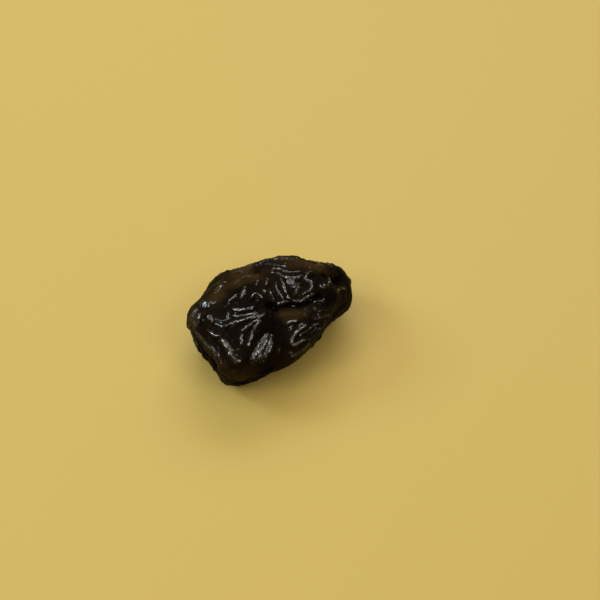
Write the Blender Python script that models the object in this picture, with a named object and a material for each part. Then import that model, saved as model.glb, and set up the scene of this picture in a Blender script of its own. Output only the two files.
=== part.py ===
"""One pitted prune, lying on its flattest side, as one solid.

Metres, +Z up. X runs along the fruit: the blunt stem end with the pitting slit is at -X, the narrower
blossom end at +X. The origin is under the middle of the fruit, on the surface it rests on.
The body is a rounded block with lobes and hollows. The skin over it carries ridges, creases and a
pucker, each placed by hand, and wrinkles that follow the nodal lines of random waves.
"""

import math

import bpy
import numpy as np
from mathutils import Vector
from mathutils.bvhtree import BVHTree
from mathutils.interpolate import poly_3d_calc

# Driving dimensions, in millimetres
LENGTH = 38.0
WIDTH = 27.5
HEIGHT = 19.0

# The body: how much the rest spot cuts off, how square the block is (2 is an ellipsoid), how much narrower
# the blossom end is than the stem end, as a share, how high its broad unevenness is, the wavelengths of
# that along X, Y and Z, and how many random waves make it up, as they do the other slow variations
REST_SINK = 0.45
BLOCKINESS = 2.25
END_TAPER = 0.10
UNEVENNESS = 0.35
UNEVEN_WAVELENGTHS = (14.0, 9.0, 9.0)
BROAD_WAVES = 24

# The skin is meshed finely, with this many cells along the fruit, then thinned to this many triangles
CELLS_ALONG = 150
SOLID_TRIANGLES = 11400

# Folds: how round the crest is, how far the steep flanks and the gentle skirt below them reach, all in
# widths of the fold, what share of the height the skirt has, how softly flanks and skirt run out, how much
# the height varies along a fold and with what wavelengths, the length over which each end runs out, in mm,
# and how full it stays while it does, where 1 is plain
CREST_RADIUS = 0.28
FLANK_REACH = 1.9
SKIRT_REACH = 5.5
SKIRT_SHARE = 0.38
FOOT_SOFTNESS = 0.15
HEIGHT_VARIATION = 0.13
VARIATION_WAVELENGTHS = (3.5, 3.5, 3.5)
END_FADE = 1.4
END_POWER = 0.8

# On a fold this high, in mm, and higher ones, the wrinkles keep this share of their height
FULL_FOLD = 0.6
WRINKLES_ON_FOLDS = 0.2

# Placing the folds: how far away the eye is that they are drawn from, and the step along a line, in mm, how
# many times each is laid on the skin, and the cells along the fruit of the coarser skin for this
EYE_DISTANCE = 286.0
LINE_STEP = 0.4
PLACING_ROUNDS = 3
PLACING_CELLS = 96

# Wrinkles between and behind the folds: wavelengths along X, Y and Z, width, height where the folds are
# drawn, and height on the hidden sides, all in mm
WRINKLES = {
    "along": ((11.0, 6.0, 6.0), 0.75, 0.12, 0.75),
    "across": ((4.2, 6.0, 6.0), 0.6, 0.0, 0.4),
}
WRINKLE_WAVES = 40
PATCH_WAVELENGTHS = (10.0, 8.0, 8.0)

# The skin counts as hidden from the front below this cosine between the way it faces and that eye, and
# wholly so this much below it
HIDDEN_FROM = 0.02
HIDDEN_OVER = 0.25

# The skin is smooth on the rest spot and has its full relief this far above it, in mm. Under 1, the power
# makes the relief come in fast
SMOOTH_BAND = 1.6
BAND_POWER = 0.7

MM = 0.001
SEED = 11

# The sides that the folds below are drawn from: degrees round from the front, degrees up, then, in mm right
# and up of the middle of the body, the middle of the drawing and the eye
VIEWS = {
    "front": (-32.0, 50.0, (-1.8, -1.8), (5.3, 1.85)),
    "back": (148.0, 15.0, (0.0, -2.3), (0.0, 0.0)),
}

# Broad forms of the body: centre direction (x, y, z), height in mm, reach in mm
LOBES = {
    "stem_end_flat": ((-19, -1, -1), -3.7, 8),
    "front_stem_corner": ((-12.5, -9.5, -5), 2, 5.5),
    "back_shoulder_flat": ((13, 9.5, 6), -2.6, 7),
    "back_stem_flat": ((-11, 11, 5), -0.6, 6),
    "blossom_nose": ((18, 1.5, -4), 1, 5),
    "front_blossom_flat": ((11.5, -10.5, -4), -3.4, 7),
    "upper_front_hollow": ((1, -3, 9), -1.5, 5.5),
    "upper_stem_hollow": ((-7, -2, 8), -0.3, 5),
    "lower_right": ((7.4, -7.6, -5), 1, 5),
    "far_rim": ((7, 5, 7), 0.6, 5),
    "blossom_top": ((16, -4, 4.3), -2.2, 4),
    "stem_low": ((-15.5, -2, -6), 0.1, 4),
    "front_foot": ((-4, -10, -8), -0.5, 4),
    "far_stem_corner": ((-15.8, 8.8, 1), -1, 4),
    "low_front": ((-10.5, -10.5, -7.5), -1.5, 4),
    "blossom_low": ((15.5, -5.5, -3.5), 0.8, 4),
}

# Folds: side they are drawn from, height (below zero for a crease) and width, then points right and up of
# the middle, all in mm
FOLDS = {
    "pucker": ("front", -1.5, 0.65, [(0.2, 2.1), (0.9, 1.8), (1.7, 1.6), (2.6, 1.9)]),
    "main_crease": ("front", -1.3, 0.45, [
        (-0.4, 2.2), (1.5, 1.9), (3.3, 2.3), (5, 2.6), (7, 2.5), (8.6, 3.2), (10.4, 4.1),
        (12.4, 4.6),
    ]),
    "crease_lip": ("front", 0.7, 0.42, [
        (1.6, 2.9), (2.9, 3), (4, 3.3), (5.8, 3.4), (7.4, 3.3), (9, 4.4), (10.8, 5.4),
    ]),
    "crease_tail": ("front", 0.6, 0.4, [(6.5, 2.7), (7.7, 3.2)]),
    "fan_1": ("front", 0.8, 0.4, [(-2, 2.3), (-3.5, 1.9), (-5, 1.7), (-6.5, 1.7), (-7.7, 2)]),
    "fan_2": ("front", 0.75, 0.36, [
        (-1, 1), (-2.3, 0.7), (-3.4, 0.7), (-4.5, 0.5), (-5.6, 0.3), (-6.8, 0.3), (-7.9, 0.5),
    ]),
    "fan_3": ("front", 0.7, 0.36, [
        (-11.4, 0.1), (-10.7, -0.5), (-9.8, -0.8), (-9, -0.8), (-8.4, -0.3), (-8.1, 0.7),
        (-8.2, 1.7),
    ]),
    "fan_4": ("front", 0.9, 0.4, [
        (0.3, 1.2), (-0.6, 0.5), (-1.6, 0.2), (-2.6, 0.1), (-4, -0.2), (-5.5, -0.7), (-7, -1),
        (-8, -1.6), (-9, -1.9), (-10.2, -1.6), (-11.4, -0.9),
    ]),
    "fan_5": ("front", 0.85, 0.4, [
        (-0.6, 0.1), (-1.9, -0.6), (-2.9, -1.2), (-4.2, -2.1), (-5, -2.9), (-6, -3.5),
    ]),
    "fan_6": ("front", 0.8, 0.4, [
        (-0.4, -0.2), (-1.5, -1.1), (-2.3, -2), (-2.8, -3.2), (-3.1, -4.2), (-3.5, -5.4),
        (-4.1, -7.2),
    ]),
    "fan_7": ("front", 0.55, 0.36, [(-4.6, -2.9), (-5.4, -4.3), (-5.2, -5.6), (-5.8, -6.8)]),
    "cheek_ridge": ("front", 0.8, 0.4, [
        (-13.2, -2.7), (-12.2, -3.1), (-11.3, -3.9), (-10.5, -4), (-9.2, -4.1),
    ]),
    "cheek_spot": ("front", 0.6, 0.4, [(-12.9, 0.3), (-12.2, -0.4), (-11.9, -1.2)]),
    "inner_lip": ("front", 1.2, 0.8, [
        (-13.5, 1.5), (-14.4, 0.8), (-15.1, 0), (-15.6, -1.2), (-15.3, -2.7), (-14.2, -4.2),
        (-13, -5.8), (-11.5, -7.2), (-10.5, -8.4), (-9.8, -9.6), (-9.8, -11), (-10.1, -12.2),
    ]),
    "lip_groove": ("front", -0.8, 0.6, [
        (-16.1, -1.2), (-16, -3), (-15.2, -4.6), (-14.2, -6), (-13.2, -7),
    ]),
    "outer_lip": ("front", 0.9, 0.7, [
        (-14.4, 2.4), (-15.6, 0.8), (-16.6, -1.4), (-16.8, -3.1), (-16.1, -4.9), (-15, -6.3),
        (-13.6, -7.6),
    ]),
    "pitting_slit": ("front", -1.6, 0.7, [(-12.8, -7.5), (-11.8, -8.8), (-11, -10.1), (-10.8, -11.6)]),
    "slit_flap": ("front", 0.8, 0.5, [(-13.8, -7.5), (-13.3, -9.3), (-12.1, -11), (-11.1, -12.5)]),
    "shoulder_ridge": ("front", 1.1, 0.8, [
        (-10.6, -4.4), (-9.3, -5.3), (-8.5, -6.2), (-7.9, -7.3), (-7.8, -8.4), (-7, -9.2),
        (-6.2, -9.7), (-4.6, -9.9),
    ]),
    "shoulder_knot": ("front", 0.6, 0.4, [(-7.3, -8.4), (-6.7, -9), (-6.9, -9.8)]),
    "corner_fold": ("front", 0.6, 0.48, [(-8.9, -8.6), (-8.6, -9.8), (-8.9, -11.2), (-8.2, -12.6)]),
    "rim": ("front", 1, 0.9, [
        (-7.6, 9.4), (-6.2, 9.9), (-4.5, 10.6), (-3, 11.2), (-1, 11.9), (1, 12.3), (3, 12.5),
        (5.2, 12.3), (7.8, 11.8), (9.8, 11.1), (11.4, 11.1), (13, 11),
    ]),
    "rim_inner": ("front", 0.45, 0.5, [
        (-6.2, 9), (-5.2, 9.8), (-3.6, 10.3), (-2, 11), (0.3, 11.3), (2.8, 11.1), (5, 10.8),
    ]),
    "rim_groove": ("front", -0.6, 0.5, [(-6.2, 8.6), (-4.8, 9.3), (-3.2, 9.8), (-1.2, 10)]),
    "rim_step": ("front", 0.8, 0.6, [
        (-7.7, 6.3), (-6.7, 7.4), (-5.7, 8.2), (-4.2, 8.7), (-2.6, 8.9), (-1, 8.8),
    ]),
    "under_rim_1": ("front", 0.8, 0.4, [
        (0.6, 10.2), (1.3, 10.5), (2.1, 10.5), (2.9, 10.4), (3.9, 9.9), (5.2, 9.6), (6.6, 9.7),
        (8, 9.8),
    ]),
    "under_rim_2": ("front", 0.8, 0.4, [
        (0.2, 9.4), (1, 9.5), (1.8, 9.7), (3, 9.2), (4.4, 8.6), (6.2, 8.5), (7.4, 8.9), (8.2, 9.4),
    ]),
    "hook": ("front", 0.9, 0.4, [
        (10.6, 9.3), (9.9, 9.7), (9.1, 9.6), (8.5, 9), (8.4, 8.3), (9, 7.9), (9.7, 7.6), (9.9, 6.7),
        (9.7, 5.9), (8.8, 5.5), (8, 4.9), (7, 4.3),
    ]),
    "arch": ("front", 1, 0.4, [
        (-3.1, 3.2), (-3.2, 4.2), (-2.7, 5), (-2, 5.2), (-1.2, 4.7), (-0.6, 4.1), (0, 3.4),
    ]),
    "arch_inner": ("front", 0.6, 0.32, [(-2.5, 4.2), (-1.9, 3.5), (-1.3, 2.7)]),
    "upper_1": ("front", 0.95, 0.44, [(-4.2, 7.1), (-4.8, 5.9), (-5.1, 4.8), (-5.8, 3.6)]),
    "upper_2": ("front", 0.7, 0.4, [(-5.9, 5.5), (-6.7, 4.5), (-7.6, 3.9), (-8.6, 2.9)]),
    "upper_3": ("front", 0.8, 0.4, [(-8, 3.2), (-8.8, 2.3), (-9.4, 1.5)]),
    "upper_4": ("front", 0.6, 0.36, [(-5.7, 3.4), (-6.5, 3), (-7.2, 2.6)]),
    "upper_5": ("front", 0.9, 0.55, [(-2.9, 7.6), (-2, 8.1), (-1.8, 7.4), (-2.2, 6.6)]),
    "upper_6": ("front", 0.75, 0.36, [(0.3, 9), (0.1, 8), (0, 7.2), (-0.3, 6.4)]),
    "upper_7": ("front", 0.85, 0.36, [
        (2.3, 8.2), (2.1, 7.2), (2.3, 6.1), (3, 5), (3.6, 4.2), (3.9, 3.3),
    ]),
    "upper_8": ("front", 0.9, 0.4, [(3, 8), (3.6, 7.1), (4, 6.2), (4.3, 5.1), (5, 4), (5.8, 3.3)]),
    "upper_9": ("front", 0.8, 0.4, [(0.5, 6.3), (0.9, 5.4), (1.4, 4.7), (1.8, 3.9), (1.7, 3.1)]),
    "upper_10": ("front", 0.7, 0.36, [
        (4.5, 7.8), (5.3, 8), (6.1, 7.6), (6.3, 6.8), (5.6, 6.3), (4.8, 6.6),
    ]),
    "upper_11": ("front", 0.6, 0.36, [(5, 7.3), (5.6, 7), (6, 7.2)]),
    "upper_12": ("front", 0.65, 0.4, [(6.7, 7.8), (7, 6.6), (6.3, 5.5), (6.6, 4.4)]),
    "upper_13": ("front", 0.5, 0.45, [(-9.6, 7.4), (-10.1, 6.6), (-10.7, 5.7), (-11.3, 4.9)]),
    "upper_14": ("front", 0.7, 0.48, [(-10, 3.5), (-11.3, 3.2), (-12.6, 3.3), (-13.8, 3.8)]),
    "upper_15": ("front", 0.5, 0.4, [(-0.9, 6.4), (-0.4, 5.5), (0.3, 4.6)]),
    "shoulder_step": ("front", 0.5, 0.48, [(-8, 7.9), (-8.9, 7.5), (-9.9, 7.3), (-11.2, 6.9)]),
    "facet_foot": ("front", 0.75, 0.36, [
        (3.6, -2), (4.7, -1.3), (5.4, -0.9), (6.3, -0.8), (7.6, -0.8),
    ]),
    "facet_foot_2": ("front", 0.55, 0.32, [(4.2, -2.6), (5.4, -2.1), (6.4, -1.5)]),
    "facet_side": ("front", 0.35, 0.4, [(8, 2.5), (8.8, 1.7), (8.8, 0.4), (9, -1)]),
    "facet_edge": ("front", 0.25, 0.48, [(2.4, 0.8), (3.6, 0.2), (4.8, 0.3), (6.4, 0.4), (7.8, 0.9)]),
    "loop": ("front", 1.15, 0.44, [
        (9.6, -1.5), (8.6, -1.9), (7.5, -2.5), (6.4, -3.4), (5.8, -4.5), (5.5, -5.5), (5.8, -6.1),
        (6.5, -6), (7.3, -5.5), (8.2, -5), (9.4, -4.9), (10.3, -4.3), (11, -3.5), (11.5, -2.6),
        (12.6, -1.6),
    ]),
    "loop_tongue_1": ("front", 0.6, 0.36, [
        (6.6, -4.7), (7.6, -3.7), (9, -2.8), (10.5, -1.8), (12, -0.9),
    ]),
    "loop_tongue_2": ("front", 0.55, 0.36, [(8.6, -4.1), (9.8, -3.2), (11, -2.2)]),
    "under_loop_1": ("front", 1.1, 0.65, [
        (9.6, -5.1), (9, -6.3), (8.2, -7), (7, -7.8), (6, -8.2), (4.7, -8.7),
    ]),
    "under_loop_2": ("front", 0.65, 0.4, [
        (8.6, -5.4), (7.6, -6.7), (6.4, -7.5), (5, -7.8), (3.4, -8.5),
    ]),
    "tail_1": ("front", 0.75, 0.4, [(9.9, -0.9), (11.1, -0.2), (12.6, 0.1), (14, 0.6)]),
    "tail_2": ("front", 0.5, 0.4, [(11.9, -1.4), (13.4, -0.4), (15.3, -0.5), (16.6, 0.4)]),
    "tail_3": ("front", 0.4, 0.4, [(9.9, 3), (11.4, 3.4), (13, 3.3)]),
    "tail_4": ("front", 0.4, 0.4, [(9.6, 1.9), (11.3, 1.3), (13.2, 1.6), (15, 2)]),
    "blossom_1": ("front", 0.7, 0.4, [(11, 6.9), (12.6, 6.4), (13.5, 7.6), (13.6, 8.8)]),
    "blossom_2": ("front", 0.7, 0.4, [(14.9, 4.6), (15.2, 5.6), (16.2, 6.2), (17.4, 6)]),
    "blossom_3": ("front", -0.8, 0.7, [(11.6, 9.7), (12.6, 8.4), (14.4, 7.7), (16.4, 7.6)]),
    "belly_1": ("front", 0.55, 0.4, [
        (1.1, -4.2), (1.3, -5.6), (0.9, -7), (0.1, -8.4), (-0.6, -9.7), (-1.2, -10.7),
    ]),
    "belly_2": ("front", 0.45, 0.4, [
        (0.2, -3.8), (0.4, -4.7), (-0.4, -6), (-0.9, -7.4), (-1.3, -8.8), (-2.2, -10),
    ]),
    "belly_3": ("front", 0.45, 0.4, [
        (-1.1, -4.9), (-1.6, -6.4), (-2, -8), (-2.6, -9.3), (-3.4, -10.2),
    ]),
    "belly_4": ("front", 0.3, 0.36, [(-0.2, -6.2), (0.4, -7.4), (-0.2, -8.6)]),
    "belly_5": ("front", 0.45, 0.36, [(2.6, -5.9), (2.9, -6.9), (2.2, -8.4)]),
    "lower_fold": ("front", 0.8, 0.7, [
        (-7.4, -12), (-5.4, -12.6), (-3.4, -12.8), (-1.4, -12.4), (0.6, -11.8), (2.8, -10.9),
    ]),
    "lower_groove": ("front", -0.8, 0.6, [
        (-7.2, -14), (-5.4, -14), (-3.6, -13.7), (-1.2, -13), (1.2, -12.3),
    ]),
    "low_ridge": ("front", 0.5, 0.48, [(-5.2, -11), (-3.2, -11.3), (-1.2, -11.6)]),
    "back_crest": ("back", 0.5, 0.9, [
        (-14, 2.6), (-9.5, 3.9), (-4, 3.1), (0.5, 4.4), (5, 3.6), (10.5, 4.6),
    ]),
    "back_long_1": ("back", 0.7, 0.8, [(-13, 4.6), (-9, 3.2), (-5, 4.4), (-1, 3), (2, 3.4)]),
    "back_long_2": ("back", 0.7, 0.7, [(3, 2.2), (6, 3.4), (9, 2.6), (12.5, 4), (15, 3.4)]),
    "back_crease": ("back", -1.7, 0.8, [
        (-11.5, -1.2), (-7, 0.4), (-2, -0.6), (3.5, 0.7), (8.5, -0.3), (12.5, 1.2),
    ]),
    "back_pucker": ("back", -1.2, 0.9, [(7.4, -0.8), (8.6, -0.3), (9.7, 0.3)]),
    "back_fan_1": ("back", 0.85, 0.55, [(9.8, 0.9), (11.4, 2.2), (13.6, 3), (15.4, 2.7)]),
    "back_fan_2": ("back", 0.85, 0.55, [(10.4, 0.2), (12.6, 0.6), (14.8, 0.4), (17, 1.1)]),
    "back_fan_3": ("back", 0.9, 0.55, [(10, -0.7), (12.2, -1.5), (14, -2.9), (15.7, -3.4)]),
    "back_fan_4": ("back", 0.8, 0.55, [(8.6, -1.5), (9.9, -3.3), (10.7, -5.4)]),
    "back_rib_1": ("back", 0.7, 0.6, [(-9.2, 2.4), (-8.2, 1.4), (-8.6, 0.3)]),
    "back_rib_2": ("back", 0.7, 0.6, [(-5.2, 2.3), (-4.2, 1.2), (-4.6, 0)]),
    "back_rib_3": ("back", 0.7, 0.6, [(0.6, 3), (1.6, 1.9), (1.2, 0.7)]),
    "back_rib_4": ("back", 0.85, 0.6, [(-8.9, -1.1), (-7.3, -2.8), (-7.8, -4.7), (-6.3, -6.6)]),
    "back_rib_5": ("back", 0.9, 0.6, [(-4.3, -1.3), (-3.1, -3.3), (-3.9, -5.3), (-2.3, -7.2)]),
    "back_rib_6": ("back", 0.85, 0.6, [(1.4, -0.7), (0.7, -2.8), (1.9, -4.6), (1.1, -7)]),
    "back_rib_7": ("back", 0.85, 0.6, [(5.3, -0.7), (5.9, -2.7), (4.9, -4.9), (6.2, -6.9)]),
    "back_low_fold": ("back", 0.9, 0.8, [
        (-12.8, -4.2), (-8.9, -5.8), (-4.4, -5.5), (0.8, -6.5), (5.8, -5.4), (10.6, -6.1),
    ]),
}


def box_sphere(cells):
    """Unit directions and quads of a box of that many cells along X, Y and Z, blown up into a ball."""
    quads = []
    for axis in range(3):
        a, b = (axis + 1) % 3, (axis + 2) % 3
        i, j = np.meshgrid(np.arange(cells[a]), np.arange(cells[b]), indexing="ij")
        for end in (0, cells[axis]):
            corners = []
            for step_a, step_b in ((0, 0), (1, 0), (1, 1), (0, 1)):
                corner = np.full((i.size, 3), end)
                corner[:, a] = i.ravel() + step_a
                corner[:, b] = j.ravel() + step_b
                corners.append(corner)
            quads.append(np.stack(corners if end else corners[::-1], axis=1))
    lattice, index = np.unique(np.concatenate(quads).reshape(-1, 3), axis=0, return_inverse=True)
    unit = np.tan((lattice / np.array(cells) - 0.5) * math.pi / 2)
    unit /= np.linalg.norm(unit, axis=1, keepdims=True)
    return unit, index.reshape(-1, 4)


def vertex_normals(points, quads):
    """Outward unit normals at the points."""
    first, second, third, fourth = (points[quads[:, corner]] for corner in range(4))
    across = np.cross(third - first, fourth - second)
    normals = np.zeros_like(points)
    for corner in range(4):
        for axis in range(3):
            normals[:, axis] += np.bincount(quads[:, corner], across[:, axis], len(points))
    return normals / np.linalg.norm(normals, axis=1, keepdims=True)


def random_waves(points, wavelengths, count, seed):
    """A smooth random height at each point, mostly within -2 to 2, and its gradient."""
    draw = np.random.RandomState(seed)
    heading = draw.normal(size=(count, 3))
    heading /= np.linalg.norm(heading, axis=1, keepdims=True)
    numbers = heading * 2 * math.pi / np.array(wavelengths)
    phases = points @ numbers.T + draw.uniform(0, 2 * math.pi, count)
    scale = math.sqrt(2 / count)
    return np.sin(phases).sum(1) * scale, np.cos(phases) @ numbers * scale


def sized(points):
    """The points, moved and stretched so that their box is as long and wide as the fruit, and as high as
    it is before its rest spot is cut, round the middle."""
    low, high = points.min(0), points.max(0)
    return (points - (low + high) / 2) * np.array([LENGTH, WIDTH, HEIGHT + REST_SINK]) / (high - low)


def rounded_body(unit):
    """The prune's body without its skin folds."""
    half = np.array([LENGTH, WIDTH, HEIGHT]) / 2
    block = (np.abs(unit) ** BLOCKINESS).sum(1) ** (-1 / BLOCKINESS)
    points = unit * block[:, None] * half
    points[:, 1:] *= 1 - END_TAPER * points[:, :1] / half[0]
    for place, height, reach in LOBES.values():
        centre = np.array(place)
        outward = centre / np.linalg.norm(centre)
        near = np.exp(-((points - centre) ** 2).sum(1) / reach**2)
        points += near[:, None] * height * outward
    points = sized(points)
    uneven = UNEVENNESS * random_waves(points, UNEVEN_WAVELENGTHS, BROAD_WAVES, SEED)[0]
    return points + uneven[:, None] * unit


def picture_axes(azimuth, elevation):
    """Right, up and towards the eye, for someone looking from that side."""
    a, e = math.radians(azimuth), math.radians(elevation)
    right = Vector((math.cos(a), math.sin(a), 0))
    back = Vector((math.sin(a) * math.cos(e), -math.cos(a) * math.cos(e), math.sin(e)))
    return right, back.cross(right), back


def smooth_path(knots, step):
    """Points about a step apart along a smooth curve through the knots."""
    knots = np.array(knots, float)
    ends = np.vstack([2 * knots[0] - knots[1], knots, 2 * knots[-1] - knots[-2]])
    made = []
    for before, start, end, after in zip(ends, ends[1:], ends[2:], ends[3:]):
        count = max(2, int(np.linalg.norm(end - start) / step))
        t = np.linspace(0, 1, count, endpoint=False)[:, None]
        bend = 2 * before - 5 * start + 4 * end - after
        twist = 3 * start - before - 3 * end + after
        made.append(0.5 * (2 * start + (end - before) * t + bend * t**2 + twist * t**3))
    return np.vstack(made + [knots[-1:]])


def seen_from(skin, eye, away):
    """Where a line of sight meets the skin and on which quad, or the nearest place if it passes by."""
    hit, _, quad, _ = skin.ray_cast(eye, away)
    if hit is None:
        hit, _, quad, _ = skin.find_nearest(eye + away * EYE_DISTANCE)
    return hit, quad


def fold_paths(body, quads, raised):
    """Each fold's line on the body, laid so that it shows where it is drawn once the skin is raised."""
    skin = BVHTree.FromPolygons(raised.tolist(), quads.tolist())
    middle = Vector((0, 0, REST_SINK / 2))
    paths = {}
    for name, (view, _, _, knots) in FOLDS.items():
        azimuth, elevation, shift, aside = VIEWS[view]
        right, up, back = picture_axes(azimuth, elevation)
        eye = middle + right * aside[0] + up * aside[1] + back * EYE_DISTANCE
        laid = []
        for u, v in smooth_path(knots, LINE_STEP) + np.array(shift):
            aim = middle + right * u + up * v
            hit, quad = seen_from(skin, eye, (aim - eye).normalized())
            corners = quads[quad]
            weights = poly_3d_calc([Vector(raised[corner]) for corner in corners], hit)
            laid.append(weights @ body[corners])
        path = np.array(laid)
        path[1:-1] = (path[:-2] + 2 * path[1:-1] + path[2:]) / 4
        paths[name] = path
    return paths


def fold_profile(distance, width):
    """The height of a fold of height 1 at that distance from its line: a rounded crest, straight steep
    flanks, and a gentle skirt below them."""
    radius = CREST_RADIUS * width
    off = np.sqrt(distance**2 + radius**2) - radius
    total = 0
    for reach, share in ((FLANK_REACH, 1 - SKIRT_SHARE), (SKIRT_REACH, SKIRT_SHARE)):
        flank = 1 - off / (reach * width)
        total += share * (flank + np.sqrt(flank**2 + FOOT_SOFTNESS**2)) / 2
    return total


def along_and_off(points, path):
    """How far along the path each point is, as a share of it, and how far off it, in mm."""
    starts, steps = path[:-1], np.diff(path, axis=0)
    to_points = points[:, None] - starts[None]
    squares = np.maximum((steps**2).sum(1), 1e-9)
    share = np.clip(np.einsum("psk,sk->ps", to_points, steps) / squares, 0, 1)
    apart = np.linalg.norm(to_points - share[:, :, None] * steps[None], axis=2)
    nearest = apart.argmin(1)
    each = np.arange(len(points))
    return (nearest + share[each, nearest]) / len(steps), apart[each, nearest]


def fold_heights(points, paths):
    """How far the named folds lift or sink the skin. Where two ridges or two creases meet, the greater
    counts."""
    raised, sunk = np.zeros((2, len(points)))
    uneven = 1 + HEIGHT_VARIATION * random_waves(points, VARIATION_WAVELENGTHS, BROAD_WAVES, SEED + 9)[0]
    for name, (_, height, width, _) in FOLDS.items():
        path = paths[name]
        reach = (SKIRT_REACH + 2) * width  # nothing is left of the fold from here on
        inside = (points > path.min(0) - reach) & (points < path.max(0) + reach)
        near = inside.all(1).nonzero()[0]
        along, apart = along_and_off(points[near], path)
        length = np.linalg.norm(np.diff(path, axis=0), axis=1).sum()
        to_end = np.minimum(along, 1 - along) * length / END_FADE
        taper = np.sin(np.clip(to_end, 0, 1) * math.pi / 2) ** END_POWER
        lift = abs(height) * taper * uneven[near] * fold_profile(apart, width)
        total = raised if height > 0 else sunk
        total[near] = np.maximum(total[near], lift)
    return raised - sunk


def wrinkle_heights(points, normals, hidden):
    """Ridges of even width along the nodal lines of random waves, in mm. They are stronger in patches."""
    strength = 0.6 + random_waves(points, PATCH_WAVELENGTHS, BROAD_WAVES, SEED + 8)[0]
    total = np.zeros(len(points))
    for nth, (wavelengths, width, seen, unseen) in enumerate(WRINKLES.values()):
        wave, slope = random_waves(points, wavelengths, WRINKLE_WAVES, SEED + 5 + nth)
        slope -= (slope * normals).sum(1)[:, None] * normals
        distance = np.abs(wave) / np.maximum(np.linalg.norm(slope, axis=1), 0.2)
        total = np.maximum(total, (seen + (unseen - seen) * hidden) * fold_profile(distance, width))
    return total * (0.5 + 0.5 * np.clip(strength, 0, 1))


def raised_skin(cells_along, paths):
    """The body in mm round its middle, the quads, and the skin raised from it along the paths. Without
    paths the skin is the bare body."""
    shares = np.array([LENGTH, WIDTH, HEIGHT]) / LENGTH
    unit, quads = box_sphere([2 * round(cells_along * share / 2) for share in shares])
    body = rounded_body(unit)
    if not paths:
        return body, quads, body
    normals = vertex_normals(body, quads)
    facing = normals @ np.array(picture_axes(*VIEWS["front"][:2])[2])
    folds = fold_heights(body, paths)
    hidden = np.clip((HIDDEN_FROM - facing) / HIDDEN_OVER, 0, 1)
    wrinkles = wrinkle_heights(body, normals, hidden)
    height = folds + wrinkles * (1 - (1 - WRINKLES_ON_FOLDS) * np.clip(folds / FULL_FOLD, 0, 1))
    above_rest = (body[:, 2] - body[:, 2].min() - REST_SINK) / SMOOTH_BAND
    height *= np.clip(above_rest, 0, 1) ** BAND_POWER
    return body, quads, sized(body + height[:, None] * normals)


def folded_skin():
    """The whole skin as points in mm round the middle, and the quads between them."""
    paths = {}
    for _ in range(PLACING_ROUNDS):
        paths = fold_paths(*raised_skin(PLACING_CELLS, paths))
    body, quads, points = raised_skin(CELLS_ALONG, paths)
    return points, quads


def rest_cutter():
    """A block that takes away everything under the rest spot."""
    bpy.ops.mesh.primitive_cube_add(size=2 * LENGTH * MM, location=(0, 0, -LENGTH * MM))
    cutter = bpy.context.object
    cutter.name = "rest_cutter"
    cutter.hide_render = True
    cutter.display_type = "WIRE"
    return cutter


def skin_material():
    material = bpy.data.materials.new("prune_skin")
    material.use_nodes = True
    shader = material.node_tree.nodes["Principled BSDF"]
    shader.inputs["Base Color"].default_value = (0.022, 0.012, 0.008, 1)
    shader.inputs["Roughness"].default_value = 0.3
    shader.inputs["Metallic"].default_value = 0.0
    return material


def prune():
    points, quads = folded_skin()
    points[:, 2] += (HEIGHT - REST_SINK) / 2
    mesh = bpy.data.meshes.new("prune")
    mesh.from_pydata((points * MM).tolist(), [], quads.tolist())
    mesh.materials.append(skin_material())
    mesh.shade_smooth()
    obj = bpy.data.objects.new("prune", mesh)
    bpy.context.scene.collection.objects.link(obj)
    thin = obj.modifiers.new("thin_out", "DECIMATE")
    thin.ratio = SOLID_TRIANGLES / (2 * len(quads))
    cut = obj.modifiers.new("rest_spot", "BOOLEAN")
    cut.operation = "DIFFERENCE"
    cut.solver = "EXACT"
    cut.object = rest_cutter()


for old in list(bpy.data.objects):
    bpy.data.objects.remove(old)
prune()
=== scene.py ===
import math

import bpy
import numpy as np
from mathutils import Matrix, Vector
from mathutils.bvhtree import BVHTree
from mathutils.interpolate import poly_3d_calc


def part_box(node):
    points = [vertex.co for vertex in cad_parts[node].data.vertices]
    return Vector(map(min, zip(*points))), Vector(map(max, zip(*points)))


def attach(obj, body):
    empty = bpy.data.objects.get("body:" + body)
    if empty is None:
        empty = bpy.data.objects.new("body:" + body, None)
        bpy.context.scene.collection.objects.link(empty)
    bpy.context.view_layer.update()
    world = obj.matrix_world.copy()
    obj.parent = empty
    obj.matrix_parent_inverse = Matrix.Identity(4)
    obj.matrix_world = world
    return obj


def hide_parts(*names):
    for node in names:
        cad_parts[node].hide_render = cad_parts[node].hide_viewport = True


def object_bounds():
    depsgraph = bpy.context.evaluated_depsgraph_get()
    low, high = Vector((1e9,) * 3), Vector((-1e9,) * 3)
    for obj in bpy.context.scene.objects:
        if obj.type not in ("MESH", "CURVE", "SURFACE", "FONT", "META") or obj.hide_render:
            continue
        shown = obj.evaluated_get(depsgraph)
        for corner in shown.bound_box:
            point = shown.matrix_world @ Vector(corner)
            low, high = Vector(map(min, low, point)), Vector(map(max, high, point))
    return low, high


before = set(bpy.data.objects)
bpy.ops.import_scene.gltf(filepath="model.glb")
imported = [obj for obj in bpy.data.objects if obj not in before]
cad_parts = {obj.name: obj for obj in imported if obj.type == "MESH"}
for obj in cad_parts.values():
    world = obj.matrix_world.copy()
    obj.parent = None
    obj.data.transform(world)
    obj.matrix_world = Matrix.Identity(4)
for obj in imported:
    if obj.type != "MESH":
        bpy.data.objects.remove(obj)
cadBox = [list(corner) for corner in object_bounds()]
print("frame loaded, box in mm:", [[round(1000 * v, 2) for v in corner] for corner in cadBox])

mm = 0.001

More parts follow.
